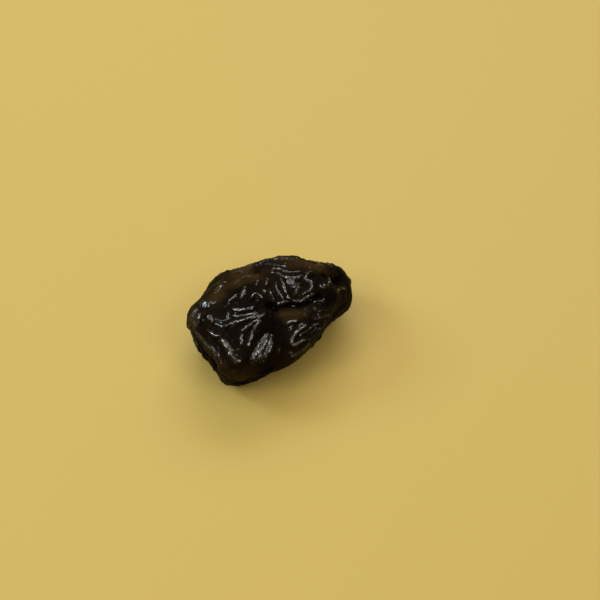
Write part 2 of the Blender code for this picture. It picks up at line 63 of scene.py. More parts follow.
fruit = {
    "length": 38.0,  # mm, along X
    "width": 27.5,
    "height": 19.0,
    "restSink": 0.45,  # how much the flat spot cuts off the round body
    "blockiness": 2.25,  # 2 is an ellipsoid
    "endTaper": 0.10,  # the blossom end is this much slimmer
    "unevenness": 0.35,  # mm
    "unevenWaves": (14.0, 9.0, 9.0),  # mm, along X, Y and Z
    "cellsAlong": 172,  # mesh cells over the length
    "seed": 11,
}

folding = {
    "crestRadius": 0.28,  # in widths of the fold
    "flankReach": 1.9,  # how far the steep flanks run, in widths
    "skirtReach": 5.5,  # and the gentle skirt below them
    "skirtShare": 0.38,
    "footSoftness": 0.15,
    "heightVariation": 0.13,
    "variationWaves": (3.5, 3.5, 3.5),  # mm
    "workedReach": 8,  # widths on each side that are worked out
    "endFade": 1.4,  # mm over which a fold runs out
    "endCurve": 0.8,
    "glossFrom": 0.45,  # mm, lower folds gleam less
    "dullUnder": -0.1,  # how far the skin leans down where the gleam starts
    "dullOver": 0.5,
    "slitReach": 1.2,  # mm of coloured skin beside the pitting slit
    "smoothBand": 1.6,  # mm above the flat spot
    "smoothCurve": 0.7,
    "readDistance": 286.0,  # mm, how far the eye was when the folds were read
    "pathStep": 0.4,  # mm
    "placingRounds": 3,
    "placingCells": 96,
}

# wavelengths along X, Y and Z, width, height where the folds are drawn
# and height on the far sides, all in mm
wrinkleSets = {
    "along": ((11.0, 6.0, 6.0), 0.75, 0.12, 0.75),
    "across": ((4.2, 6.0, 6.0), 0.6, 0.0, 0.4),
}

wrinkling = {
    "waves": 40,
    "leastSlope": 0.2,
    "farFrom": 0.02,  # how far the skin turns from the eye where the far sides start
    "farOver": 0.25,
    "patchWaves": (10.0, 8.0, 8.0),  # mm
    "patchMiddle": 0.6,  # the wrinkles come and go in patches
    "patchLeast": 0.5,  # and keep at least this share
    "shareOnFolds": 0.2,  # the wrinkles keep this share of their height
    "fullFold": 0.6,  # mm, on folds this high
}

# broad forms: centre, height and reach in mm
bodyLobes = {
    "stemEndFlat": ((-19, -1, -1), -3.7, 8),
    "frontStemCorner": ((-12.5, -9.5, -5), 2, 5.5),
    "backShoulderFlat": ((13, 9.5, 6), -2.6, 7),
    "backStemFlat": ((-11, 11, 5), -0.6, 6),
    "blossomNose": ((18, 1.5, -4), 1, 5),
    "frontBlossomFlat": ((11.5, -10.5, -4), -3.4, 7),
    "upperFrontHollow": ((1, -3, 9), -1.5, 5.5),
    "upperStemHollow": ((-7, -2, 8), -0.3, 5),
    "lowerRight": ((7.4, -7.6, -5), 1, 5),
    "farRim": ((7, 5, 7), 0.6, 5),
    "blossomTop": ((16, -4, 4.3), -2.2, 4),
    "stemLow": ((-15.5, -2, -6), 0.1, 4),
    "frontFoot": ((-4, -10, -8), -0.5, 4),
    "farStemCorner": ((-15.8, 8.8, 1), -1, 4),
    "lowFront": ((-10.5, -10.5, -7.5), -1.5, 4),
    "blossomLow": ((15.5, -5.5, -3.5), 0.8, 4),
}

# where the folds are read from: azimuth, elevation, then the middle of the drawing
# and the eye, in mm right and up of the middle of the body
readFrom = {
    "front": (-32.0, 50.0, (-1.8, -1.8), (5.3, 1.85)),
    "back": (148.0, 15.0, (0.0, -2.3), (0.0, 0.0)),
}

# side, height in mm (below zero for a crease), width in mm, points right and up of the middle in mm
foldLines = {
    "pucker": ("front", -1.5, 0.65, [(0.2, 2.1), (0.9, 1.8), (1.7, 1.6), (2.6, 1.9)]),
    "mainCrease": ("front", -1.3, 0.45, [
        (-0.4, 2.2), (1.5, 1.9), (3.3, 2.3), (5, 2.6), (7, 2.5), (8.6, 3.2), (10.4, 4.1), (12.4, 4.6),
    ]),
    "creaseLip": ("front", 0.7, 0.42, [
        (1.6, 2.9), (2.9, 3), (4, 3.3), (5.8, 3.4), (7.4, 3.3), (9, 4.4), (10.8, 5.4),
    ]),
    "creaseTail": ("front", 0.6, 0.4, [(6.5, 2.7), (7.7, 3.2)]),
    "fan1": ("front", 0.8, 0.4, [(-2, 2.3), (-3.5, 1.9), (-5, 1.7), (-6.5, 1.7), (-7.7, 2)]),
    "fan2": ("front", 0.75, 0.36, [
        (-1, 1), (-2.3, 0.7), (-3.4, 0.7), (-4.5, 0.5), (-5.6, 0.3), (-6.8, 0.3), (-7.9, 0.5),
    ]),
    "fan3": ("front", 0.7, 0.36, [
        (-11.4, 0.1), (-10.7, -0.5), (-9.8, -0.8), (-9, -0.8), (-8.4, -0.3), (-8.1, 0.7), (-8.2, 1.7),
    ]),
    "fan4": ("front", 0.9, 0.4, [
        (0.3, 1.2), (-0.6, 0.5), (-1.6, 0.2), (-2.6, 0.1), (-4, -0.2), (-5.5, -0.7), (-7, -1),
        (-8, -1.6), (-9, -1.9), (-10.2, -1.6), (-11.4, -0.9),
    ]),
    "fan5": ("front", 0.85, 0.4, [
        (-0.6, 0.1), (-1.9, -0.6), (-2.9, -1.2), (-4.2, -2.1), (-5, -2.9), (-6, -3.5),
    ]),
    "fan6": ("front", 0.8, 0.4, [
        (-0.4, -0.2), (-1.5, -1.1), (-2.3, -2), (-2.8, -3.2), (-3.1, -4.2), (-3.5, -5.4),
        (-4.1, -7.2),
    ]),
    "fan7": ("front", 0.55, 0.36, [(-4.6, -2.9), (-5.4, -4.3), (-5.2, -5.6), (-5.8, -6.8)]),
    "cheekRidge": ("front", 0.8, 0.4, [
        (-13.2, -2.7), (-12.2, -3.1), (-11.3, -3.9), (-10.5, -4), (-9.2, -4.1),
    ]),
    "cheekSpot": ("front", 0.6, 0.4, [(-12.9, 0.3), (-12.2, -0.4), (-11.9, -1.2)]),
    "innerLip": ("front", 1.2, 0.8, [
        (-13.5, 1.5), (-14.4, 0.8), (-15.1, 0), (-15.6, -1.2), (-15.3, -2.7), (-14.2, -4.2),
        (-13, -5.8), (-11.5, -7.2), (-10.5, -8.4), (-9.8, -9.6), (-9.8, -11), (-10.1, -12.2),
    ]),
    "lipGroove": ("front", -0.8, 0.6, [
        (-16.1, -1.2), (-16, -3), (-15.2, -4.6), (-14.2, -6), (-13.2, -7),
    ]),
    "outerLip": ("front", 0.9, 0.7, [
        (-14.4, 2.4), (-15.6, 0.8), (-16.6, -1.4), (-16.8, -3.1), (-16.1, -4.9), (-15, -6.3),
        (-13.6, -7.6),
    ]),
    "pittingSlit": ("front", -1.6, 0.7, [(-12.8, -7.5), (-11.8, -8.8), (-11, -10.1), (-10.8, -11.6)]),
    "slitFlap": ("front", 0.8, 0.5, [(-13.8, -7.5), (-13.3, -9.3), (-12.1, -11), (-11.1, -12.5)]),
    "shoulderRidge": ("front", 1.1, 0.8, [
        (-10.6, -4.4), (-9.3, -5.3), (-8.5, -6.2), (-7.9, -7.3), (-7.8, -8.4), (-7, -9.2),
        (-6.2, -9.7), (-4.6, -9.9),
    ]),
    "shoulderKnot": ("front", 0.6, 0.4, [(-7.3, -8.4), (-6.7, -9), (-6.9, -9.8)]),
    "cornerFold": ("front", 0.6, 0.48, [(-8.9, -8.6), (-8.6, -9.8), (-8.9, -11.2), (-8.2, -12.6)]),
    "rim": ("front", 1, 0.9, [
        (-7.6, 9.4), (-6.2, 9.9), (-4.5, 10.6), (-3, 11.2), (-1, 11.9), (1, 12.3), (3, 12.5),
        (5.2, 12.3), (7.8, 11.8), (9.8, 11.1), (11.4, 11.1), (13, 11),
    ]),
    "rimInner": ("front", 0.45, 0.5, [
        (-6.2, 9), (-5.2, 9.8), (-3.6, 10.3), (-2, 11), (0.3, 11.3), (2.8, 11.1), (5, 10.8),
    ]),
    "rimGroove": ("front", -0.6, 0.5, [(-6.2, 8.6), (-4.8, 9.3), (-3.2, 9.8), (-1.2, 10)]),
    "rimStep": ("front", 0.8, 0.6, [
        (-7.7, 6.3), (-6.7, 7.4), (-5.7, 8.2), (-4.2, 8.7), (-2.6, 8.9), (-1, 8.8),
    ]),
    "underRim1": ("front", 0.8, 0.4, [
        (0.6, 10.2), (1.3, 10.5), (2.1, 10.5), (2.9, 10.4), (3.9, 9.9), (5.2, 9.6), (6.6, 9.7),
        (8, 9.8),
    ]),
    "underRim2": ("front", 0.8, 0.4, [
        (0.2, 9.4), (1, 9.5), (1.8, 9.7), (3, 9.2), (4.4, 8.6), (6.2, 8.5), (7.4, 8.9), (8.2, 9.4),
    ]),
    "hook": ("front", 0.9, 0.4, [
        (10.6, 9.3), (9.9, 9.7), (9.1, 9.6), (8.5, 9), (8.4, 8.3), (9, 7.9), (9.7, 7.6), (9.9, 6.7),
        (9.7, 5.9), (8.8, 5.5), (8, 4.9), (7, 4.3),
    ]),
    "arch": ("front", 1, 0.4, [
        (-3.1, 3.2), (-3.2, 4.2), (-2.7, 5), (-2, 5.2), (-1.2, 4.7), (-0.6, 4.1), (0, 3.4),
    ]),
    "archInner": ("front", 0.6, 0.32, [(-2.5, 4.2), (-1.9, 3.5), (-1.3, 2.7)]),
    "upper1": ("front", 0.95, 0.44, [(-4.2, 7.1), (-4.8, 5.9), (-5.1, 4.8), (-5.8, 3.6)]),
    "upper2": ("front", 0.7, 0.4, [(-5.9, 5.5), (-6.7, 4.5), (-7.6, 3.9), (-8.6, 2.9)]),
    "upper3": ("front", 0.8, 0.4, [(-8, 3.2), (-8.8, 2.3), (-9.4, 1.5)]),
    "upper4": ("front", 0.6, 0.36, [(-5.7, 3.4), (-6.5, 3), (-7.2, 2.6)]),
    "upper5": ("front", 0.9, 0.55, [(-2.9, 7.6), (-2, 8.1), (-1.8, 7.4), (-2.2, 6.6)]),
    "upper6": ("front", 0.75, 0.36, [(0.3, 9), (0.1, 8), (0, 7.2), (-0.3, 6.4)]),
    "upper7": ("front", 0.85, 0.36, [
        (2.3, 8.2), (2.1, 7.2), (2.3, 6.1), (3, 5), (3.6, 4.2), (3.9, 3.3),
    ]),
    "upper8": ("front", 0.9, 0.4, [(3, 8), (3.6, 7.1), (4, 6.2), (4.3, 5.1), (5, 4), (5.8, 3.3)]),
    "upper9": ("front", 0.8, 0.4, [(0.5, 6.3), (0.9, 5.4), (1.4, 4.7), (1.8, 3.9), (1.7, 3.1)]),
    "upper10": ("front", 0.7, 0.36, [
        (4.5, 7.8), (5.3, 8), (6.1, 7.6), (6.3, 6.8), (5.6, 6.3), (4.8, 6.6),
    ]),
    "upper11": ("front", 0.6, 0.36, [(5, 7.3), (5.6, 7), (6, 7.2)]),
    "upper12": ("front", 0.65, 0.4, [(6.7, 7.8), (7, 6.6), (6.3, 5.5), (6.6, 4.4)]),
    "upper13": ("front", 0.5, 0.45, [(-9.6, 7.4), (-10.1, 6.6), (-10.7, 5.7), (-11.3, 4.9)]),
    "upper14": ("front", 0.7, 0.48, [(-10, 3.5), (-11.3, 3.2), (-12.6, 3.3), (-13.8, 3.8)]),
    "upper15": ("front", 0.5, 0.4, [(-0.9, 6.4), (-0.4, 5.5), (0.3, 4.6)]),
    "shoulderStep": ("front", 0.5, 0.48, [(-8, 7.9), (-8.9, 7.5), (-9.9, 7.3), (-11.2, 6.9)]),
    "facetFoot": ("front", 0.75, 0.36, [(3.6, -2), (4.7, -1.3), (5.4, -0.9), (6.3, -0.8), (7.6, -0.8)]),
    "facetFoot2": ("front", 0.55, 0.32, [(4.2, -2.6), (5.4, -2.1), (6.4, -1.5)]),
    "facetSide": ("front", 0.35, 0.4, [(8, 2.5), (8.8, 1.7), (8.8, 0.4), (9, -1)]),
    "facetEdge": ("front", 0.25, 0.48, [(2.4, 0.8), (3.6, 0.2), (4.8, 0.3), (6.4, 0.4), (7.8, 0.9)]),
    "loop": ("front", 1.15, 0.44, [
        (9.6, -1.5), (8.6, -1.9), (7.5, -2.5), (6.4, -3.4), (5.8, -4.5), (5.5, -5.5), (5.8, -6.1),
        (6.5, -6), (7.3, -5.5), (8.2, -5), (9.4, -4.9), (10.3, -4.3), (11, -3.5), (11.5, -2.6),
        (12.6, -1.6),
    ]),
    "loopTongue1": ("front", 0.6, 0.36, [
        (6.6, -4.7), (7.6, -3.7), (9, -2.8), (10.5, -1.8), (12, -0.9),
    ]),
    "loopTongue2": ("front", 0.55, 0.36, [(8.6, -4.1), (9.8, -3.2), (11, -2.2)]),
    "underLoop1": ("front", 1.1, 0.65, [
        (9.6, -5.1), (9, -6.3), (8.2, -7), (7, -7.8), (6, -8.2), (4.7, -8.7),
    ]),
    "underLoop2": ("front", 0.65, 0.4, [(8.6, -5.4), (7.6, -6.7), (6.4, -7.5), (5, -7.8), (3.4, -8.5)]),
    "tail1": ("front", 0.75, 0.4, [(9.9, -0.9), (11.1, -0.2), (12.6, 0.1), (14, 0.6)]),
    "tail2": ("front", 0.5, 0.4, [(11.9, -1.4), (13.4, -0.4), (15.3, -0.5), (16.6, 0.4)]),
    "tail3": ("front", 0.4, 0.4, [(9.9, 3), (11.4, 3.4), (13, 3.3)]),
    "tail4": ("front", 0.4, 0.4, [(9.6, 1.9), (11.3, 1.3), (13.2, 1.6), (15, 2)]),
    "blossom1": ("front", 0.7, 0.4, [(11, 6.9), (12.6, 6.4), (13.5, 7.6), (13.6, 8.8)]),
    "blossom2": ("front", 0.7, 0.4, [(14.9, 4.6), (15.2, 5.6), (16.2, 6.2), (17.4, 6)]),
    "blossom3": ("front", -0.8, 0.7, [(11.6, 9.7), (12.6, 8.4), (14.4, 7.7), (16.4, 7.6)]),
    "belly1": ("front", 0.55, 0.4, [
        (1.1, -4.2), (1.3, -5.6), (0.9, -7), (0.1, -8.4), (-0.6, -9.7), (-1.2, -10.7),
    ]),
    "belly2": ("front", 0.45, 0.4, [
        (0.2, -3.8), (0.4, -4.7), (-0.4, -6), (-0.9, -7.4), (-1.3, -8.8), (-2.2, -10),
    ]),
    "belly3": ("front", 0.45, 0.4, [(-1.1, -4.9), (-1.6, -6.4), (-2, -8), (-2.6, -9.3), (-3.4, -10.2)]),
    "belly4": ("front", 0.3, 0.36, [(-0.2, -6.2), (0.4, -7.4), (-0.2, -8.6)]),
    "belly5": ("front", 0.45, 0.36, [(2.6, -5.9), (2.9, -6.9), (2.2, -8.4)]),
    "lowerFold": ("front", 0.8, 0.7, [
        (-7.4, -12), (-5.4, -12.6), (-3.4, -12.8), (-1.4, -12.4), (0.6, -11.8), (2.8, -10.9),
    ]),
    "lowerGroove": ("front", -0.8, 0.6, [
        (-7.2, -14), (-5.4, -14), (-3.6, -13.7), (-1.2, -13), (1.2, -12.3),
    ]),
    "lowRidge": ("front", 0.5, 0.48, [(-5.2, -11), (-3.2, -11.3), (-1.2, -11.6)]),
    "backCrest": ("back", 0.5, 0.9, [
        (-14, 2.6), (-9.5, 3.9), (-4, 3.1), (0.5, 4.4), (5, 3.6), (10.5, 4.6),
    ]),
    "backLong1": ("back", 0.7, 0.8, [(-13, 4.6), (-9, 3.2), (-5, 4.4), (-1, 3), (2, 3.4)]),
    "backLong2": ("back", 0.7, 0.7, [(3, 2.2), (6, 3.4), (9, 2.6), (12.5, 4), (15, 3.4)]),
    "backCrease": ("back", -1.7, 0.8, [
        (-11.5, -1.2), (-7, 0.4), (-2, -0.6), (3.5, 0.7), (8.5, -0.3), (12.5, 1.2),
    ]),
    "backPucker": ("back", -1.2, 0.9, [(7.4, -0.8), (8.6, -0.3), (9.7, 0.3)]),
    "backFan1": ("back", 0.85, 0.55, [(9.8, 0.9), (11.4, 2.2), (13.6, 3), (15.4, 2.7)]),
    "backFan2": ("back", 0.85, 0.55, [(10.4, 0.2), (12.6, 0.6), (14.8, 0.4), (17, 1.1)]),
    "backFan3": ("back", 0.9, 0.55, [(10, -0.7), (12.2, -1.5), (14, -2.9), (15.7, -3.4)]),
    "backFan4": ("back", 0.8, 0.55, [(8.6, -1.5), (9.9, -3.3), (10.7, -5.4)]),
    "backRib1": ("back", 0.7, 0.6, [(-9.2, 2.4), (-8.2, 1.4), (-8.6, 0.3)]),
    "backRib2": ("back", 0.7, 0.6, [(-5.2, 2.3), (-4.2, 1.2), (-4.6, 0)]),
    "backRib3": ("back", 0.7, 0.6, [(0.6, 3), (1.6, 1.9), (1.2, 0.7)]),
    "backRib4": ("back", 0.85, 0.6, [(-8.9, -1.1), (-7.3, -2.8), (-7.8, -4.7), (-6.3, -6.6)]),
    "backRib5": ("back", 0.9, 0.6, [(-4.3, -1.3), (-3.1, -3.3), (-3.9, -5.3), (-2.3, -7.2)]),
    "backRib6": ("back", 0.85, 0.6, [(1.4, -0.7), (0.7, -2.8), (1.9, -4.6), (1.1, -7)]),
    "backRib7": ("back", 0.85, 0.6, [(5.3, -0.7), (5.9, -2.7), (4.9, -4.9), (6.2, -6.9)]),
    "backLowFold": ("back", 0.9, 0.8, [
        (-12.8, -4.2), (-8.9, -5.8), (-4.4, -5.5), (0.8, -6.5), (5.8, -5.4), (10.6, -6.1),
    ]),
}

# places that are shiny, olive with painted reflection, or carry a painted highlight: kind, width in mm
# and points, drawn from the front like the folds
skinPatches = {
    "shoulderOliveAndReflection": ("oliveAndReflection", 2, [(-10.8, 4.4), (-8.2, 6.2), (-5.2, 7.9), (-2.6, 8.4)]),
    "rimOliveAndReflection": ("oliveAndReflection", 2.1, [(-6, 9), (-3, 10.3), (1, 11.5), (5, 11.9), (9, 11.3), (11.5, 10.6)]),
    "facetOliveAndReflection": ("oliveAndReflection", 1.35, [(3.4, 0.5), (7.2, 0.6)]),
    "wallOliveAndReflection": ("oliveAndReflection", 2.3, [(-7.8, -11.3), (-5, -13.2), (0, -13.3), (4.5, -12.4), (9, -9.8)]),
    "outerLipPaintedHighlight": ("paintedHighlight", 0.55, [
        (-15.4, 0.9), (-16.5, -1.4), (-16.7, -3.1), (-16, -4.9), (-14.8, -6.4),
    ]),
    "innerLipPaintedHighlight": ("paintedHighlight", 0.4, [
        (-15.5, -1), (-15.2, -2.7), (-14.1, -4.2), (-12.9, -5.8), (-11.8, -6.8),
    ]),
    "loopPaintedHighlight": ("paintedHighlight", 0.3, [
        (7.5, -2.5), (6.4, -3.4), (5.8, -4.5), (5.5, -5.5), (5.8, -6.1), (6.5, -6), (7.3, -5.5),
        (8.2, -5),
    ]),
    "underLoopPaintedHighlight": ("paintedHighlight", 0.5, [(9.4, -5.6), (8.8, -6.5), (8, -7.2), (6.8, -7.9), (5.6, -8.4)]),
    "lipOliveAndReflection": ("oliveAndReflection", 0.9, [(-15.6, 0.8), (-15.5, -3.5), (-13.8, -6.4), (-11, -9.3)]),
    "bellyGloss": ("gloss", 1.35, [(0.4, -4.6), (-1.1, -7.2), (-2.3, -9.4)]),
    "upperGloss": ("gloss", 0.8, [(5, 7.6), (5.7, 7)]),
    "cheekGloss": ("gloss", 0.6, [(-12.2, 0.1), (-11.8, -0.7)]),
    "lipGloss": ("gloss", 0.6, [(-14.6, -0.4), (-14.9, -1.6)]),
    "neckGloss": ("gloss", 0.7, [(-13.9, 3.2), (-13.2, 2.5)]),
    "shoulderGloss": ("gloss", 0.6, [(-10.7, 5.6), (-10, 6.8)]),
}


def boxSphere(cells):
    # directions and quads of a box grid blown up into a ball
    quads = []
    for axis in range(3):
        a, b = (axis + 1) % 3, (axis + 2) % 3
        i, j = np.meshgrid(np.arange(cells[a]), np.arange(cells[b]), indexing="ij")
        for end in (0, cells[axis]):
            corners = []
            for stepA, stepB in ((0, 0), (1, 0), (1, 1), (0, 1)):
                corner = np.full((i.size, 3), end)
                corner[:, a] = i.ravel() + stepA
                corner[:, b] = j.ravel() + stepB
                corners.append(corner)
            quads.append(np.stack(corners if end else corners[::-1], axis=1))
    lattice, index = np.unique(np.concatenate(quads).reshape(-1, 3), axis=0, return_inverse=True)
    unit = np.tan((lattice / np.array(cells) - 0.5) * math.pi / 2)
    return unit / np.linalg.norm(unit, axis=1, keepdims=True), index.reshape(-1, 4)


def pointNormals(points, quads):
    first, second, third, fourth = (points[quads[:, corner]] for corner in range(4))
    across = np.cross(third - first, fourth - second)
    normals = np.zeros_like(points)
    for corner in range(4):
        for axis in range(3):
            normals[:, axis] += np.bincount(quads[:, corner], across[:, axis], len(points))
    return normals / np.linalg.norm(normals, axis=1, keepdims=True)


def randomWaves(points, wavelengths, seed, count=24):
    # smooth random height at each point, and its slope
    draw = np.random.RandomState(seed)
    heading = draw.normal(size=(count, 3))
    heading /= np.linalg.norm(heading, axis=1, keepdims=True)
    numbers = heading * 2 * math.pi / np.array(wavelengths)
    phases = points @ numbers.T + draw.uniform(0, 2 * math.pi, count)
    scale = math.sqrt(2 / count)
    return np.sin(phases).sum(1) * scale, np.cos(phases) @ numbers * scale


def sized(points):
    low, high = points.min(0), points.max(0)
    wanted = np.array([fruit["length"], fruit["width"], fruit["height"] + fruit["restSink"]])
    return (points - (low + high) / 2) * wanted / (high - low)


def roundedBody(unit):
    half = np.array([fruit["length"], fruit["width"], fruit["height"]]) / 2
    power = fruit["blockiness"]
    points = unit * ((np.abs(unit) ** power).sum(1) ** (-1 / power))[:, None] * half
    points[:, 1:] *= 1 - fruit["endTaper"] * points[:, :1] / half[0]
    for place, height, reach in bodyLobes.values():
        centre = np.array(place)
        near = np.exp(-((points - centre) ** 2).sum(1) / reach**2)
        points += near[:, None] * height * centre / np.linalg.norm(centre)
    points = sized(points)
    uneven = fruit["unevenness"] * randomWaves(points, fruit["unevenWaves"], fruit["seed"])[0]
    return points + uneven[:, None] * unit


def lookAxes(azimuth, elevation):
    # right, up and towards the eye
    a, e = math.radians(azimuth), math.radians(elevation)
    right = Vector((math.cos(a), math.sin(a), 0))
    back = Vector((math.sin(a) * math.cos(e), -math.cos(a) * math.cos(e), math.sin(e)))
    return right, back.cross(right), back


def smoothPath(knots, step):
    knots = np.array(knots, float)
    ends = np.vstack([2 * knots[0] - knots[1], knots, 2 * knots[-1] - knots[-2]])
    made = []
    for before, start, end, after in zip(ends, ends[1:], ends[2:], ends[3:]):
        count = max(2, int(np.linalg.norm(end - start) / step))
        t = np.linspace(0, 1, count, endpoint=False)[:, None]
        bend = 2 * before - 5 * start + 4 * end - after
        twist = 3 * start - before - 3 * end + after
        made.append(0.5 * (2 * start + (end - before) * t + bend * t**2 + twist * t**3))
    return np.vstack(made + [knots[-1:]])


def seenFrom(skin, start, away):
    hit, _, face, _ = skin.ray_cast(start, away)
    if hit is None:  # the ray passes by, so the nearest place is taken
        hit, _, face, _ = skin.find_nearest(start + away * folding["readDistance"])
    return hit, face


def drawnLines():
    drawn = {name: (side, knots) for name, (side, _, _, knots) in foldLines.items()}
    drawn.update({name: ("front", knots) for name, (_, _, knots) in skinPatches.items()})
    return drawn


def laidPaths(body, quads, shown):
    # each line on the round body, so that the finished skin shows it where it is drawn
    skin = BVHTree.FromPolygons(shown.tolist(), quads.tolist())
    middle = Vector((0, 0, fruit["restSink"] / 2))
    paths = {}
    for name, (side, knots) in drawnLines().items():
        azimuth, elevation, shift, aside = readFrom[side]
        right, up, back = lookAxes(azimuth, elevation)
        eye = middle + right * aside[0] + up * aside[1] + back * folding["readDistance"]
        laid = []
        for u, v in smoothPath(knots, folding["pathStep"]) + np.array(shift):
            hit, face = seenFrom(skin, eye, (middle + right * u + up * v - eye).normalized())
            corners = quads[face]
            shares = poly_3d_calc([Vector(shown[corner]) for corner in corners], hit)
            laid.append(shares @ body[corners])
        path = np.array(laid)
        path[1:-1] = (path[:-2] + 2 * path[1:-1] + path[2:]) / 4
        paths[name] = path
    return paths


def foldProfile(distance, width):
    # a round crest, steep flanks, and a gentle skirt below them
    radius = folding["crestRadius"] * width
    off = np.sqrt(distance**2 + radius**2) - radius
    slopes = []
    for reach in (folding["flankReach"], folding["skirtReach"]):
        slope = 1 - off / (reach * width)
        slopes.append((slope + np.sqrt(slope**2 + folding["footSoftness"] ** 2)) / 2)
    return slopes[0] + (slopes[1] - slopes[0]) * folding["skirtShare"]


def alongAndOff(points, path):
    starts, steps = path[:-1], np.diff(path, axis=0)
    toPoints = points[:, None] - starts[None]
    squares = np.maximum((steps**2).sum(1), 1e-9)
    share = np.clip(np.einsum("psk,sk->ps", toPoints, steps) / squares, 0, 1)
    apart = np.linalg.norm(toPoints - share[:, :, None] * steps[None], axis=2)
    nearest = apart.argmin(1)
    each = np.arange(len(points))
    return (nearest + share[each, nearest]) / len(steps), apart[each, nearest]


def pointsNear(points, path, width):
    reach = folding["workedReach"] * width
    inside = (points > path.min(0) - reach) & (points < path.max(0) + reach)
    return inside.all(1).nonzero()[0]


def foldHeights(points, paths):
    raised, sunk, slit, crest = np.zeros((4, len(points)))
    waves = randomWaves(points, folding["variationWaves"], fruit["seed"] + 9)[0]
    uneven = 1 + folding["heightVariation"] * waves
    for name, (_, height, width, _) in foldLines.items():
        path = paths[name]
        near = pointsNear(points, path, width)
        along, apart = alongAndOff(points[near], path)
        length = np.linalg.norm(np.diff(path, axis=0), axis=1).sum()
        toEnd = np.minimum(along, 1 - along) * length / folding["endFade"]
        taper = np.sin(np.clip(toEnd, 0, 1) * math.pi / 2) ** folding["endCurve"]
        profile = foldProfile(apart, width)
        total = raised if height > 0 else sunk
        total[near] = np.maximum(total[near], abs(height) * taper * uneven[near] * profile)
        if height > 0:
            gleam = profile * taper * min(1, height / folding["glossFrom"])
            crest[near] = np.maximum(crest[near], gleam)
        if name == "pittingSlit":
            slit[near] = np.exp(-((apart / folding["slitReach"]) ** 2)) * taper
    return raised - sunk, {"crest": crest, "slit": slit}


def patchStrengths(points, paths):
    strengths = {kind: np.zeros(len(points)) for kind in ("gloss", "oliveAndReflection", "paintedHighlight")}
    for name, (kind, width, _) in skinPatches.items():
        near = pointsNear(points, paths[name], width)
        apart = alongAndOff(points[near], paths[name])[1]
        strength = strengths[kind]
        strength[near] = np.maximum(strength[near], np.exp(-((apart / width) ** 2)))
    return strengths


def wrinkleHeights(points, normals, hidden):
    patches = randomWaves(points, wrinkling["patchWaves"], fruit["seed"] + 8)[0]
    strength = np.clip(wrinkling["patchMiddle"] + patches, 0, 1)
    total, crest = np.zeros((2, len(points)))
    for nth, (wavelengths, width, seen, unseen) in enumerate(wrinkleSets.values()):
        seed = fruit["seed"] + 5 + nth
        wave, slope = randomWaves(points, wavelengths, seed, wrinkling["waves"])
        slope -= (slope * normals).sum(1)[:, None] * normals
        steepness = np.maximum(np.linalg.norm(slope, axis=1), wrinkling["leastSlope"])
        distance = np.abs(wave) / steepness
        profile = foldProfile(distance, width)
        total = np.maximum(total, (seen + (unseen - seen) * hidden) * profile)
        crest = np.maximum(crest, (seen + (1 - seen) * hidden) * profile)
    return total * (wrinkling["patchLeast"] + (1 - wrinkling["patchLeast"]) * strength), crest


def raisedSkin(cellsAlong, paths):
    # the round body, and the skin raised from it along the fold paths
    shares = np.array([fruit["length"], fruit["width"], fruit["height"]]) / fruit["length"]
    unit, quads = boxSphere([2 * round(cellsAlong * share / 2) for share in shares])
    body = roundedBody(unit)
    if not paths:
        return body, quads, body, {}
    normals = pointNormals(body, quads)
    height, marks = foldHeights(body, paths)
    marks.update(patchStrengths(body, paths))
    # the painted highlight is kept to the fold crests
    marks["paintedHighlight"] *= marks["crest"].clip(0, 1)
    facing = normals @ np.array(lookAxes(*readFrom["front"][:2])[2])
    hidden = np.clip((wrinkling["farFrom"] - facing) / wrinkling["farOver"], 0, 1)
    wrinkled, wrinkleCrest = wrinkleHeights(body, normals, hidden)
    onFolds = np.clip(height / wrinkling["fullFold"], 0, 1)
    height = height + wrinkled * (1 - (1 - wrinkling["shareOnFolds"]) * onFolds)
    # the crests gleam, and are lighter than the painted shade, only where the skin faces up
    upward = np.clip((normals[:, 2] - folding["dullUnder"]) / folding["dullOver"], 0, 1)
    marks["crest"] = np.maximum(marks["crest"], wrinkleCrest) * upward
    clear = (body[:, 2] - body[:, 2].min() - fruit["restSink"]) / folding["smoothBand"]
    clear = np.clip(clear, 0, 1) ** folding["smoothCurve"]
    height *= clear
    marks.update({"foldHeight": height, "clearOfRest": clear})
    return body, quads, sized(body + height[:, None] * normals), marks


def foldedSkin():
    paths = {}
    for _ in range(folding["placingRounds"]):
        paths = laidPaths(*raisedSkin(folding["placingCells"], paths)[:3])
    print("lines laid on the skin:", len(paths))
    _, quads, points, marks = raisedSkin(fruit["cellsAlong"], paths)
    points[:, 2] = np.maximum(points[:, 2] + (fruit["height"] - fruit["restSink"]) / 2, 0)
    return points * mm, quads, marks


class Value:
    # a socket that can be added, multiplied and so on like a number

    def __init__(self, maker, socket):
        self.maker, self.socket = maker, socket

    def maths(self, operation, *others, swapped=False):
        terms = [self, *others]
        if swapped:
            terms.reverse()
        settings = {"operation": operation}
        return self.maker.node("ShaderNodeMath", settings, dict(enumerate(terms)))

    def __add__(self, other):
        return self.maths("ADD", other)

    def __sub__(self, other):
        return self.maths("SUBTRACT", other)

    def __rsub__(self, other):
        return self.maths("SUBTRACT", other, swapped=True)

    def __mul__(self, other):
        return self.maths("MULTIPLY", other)

    def __truediv__(self, other):
        return self.maths("DIVIDE", other)

    def __rtruediv__(self, other):
        return self.maths("DIVIDE", other, swapped=True)

    def __abs__(self):
        return self.maths("ABSOLUTE")

    __radd__, __rmul__ = __add__, __mul__

    def between(self, low, high):
        # 0 at low, 1 at high, smoothly
        wanted = {"Value": self, "From Min": low, "From Max": high}
        return self.maker.node("ShaderNodeMapRange", {"interpolation_type": "SMOOTHSTEP"}, wanted)


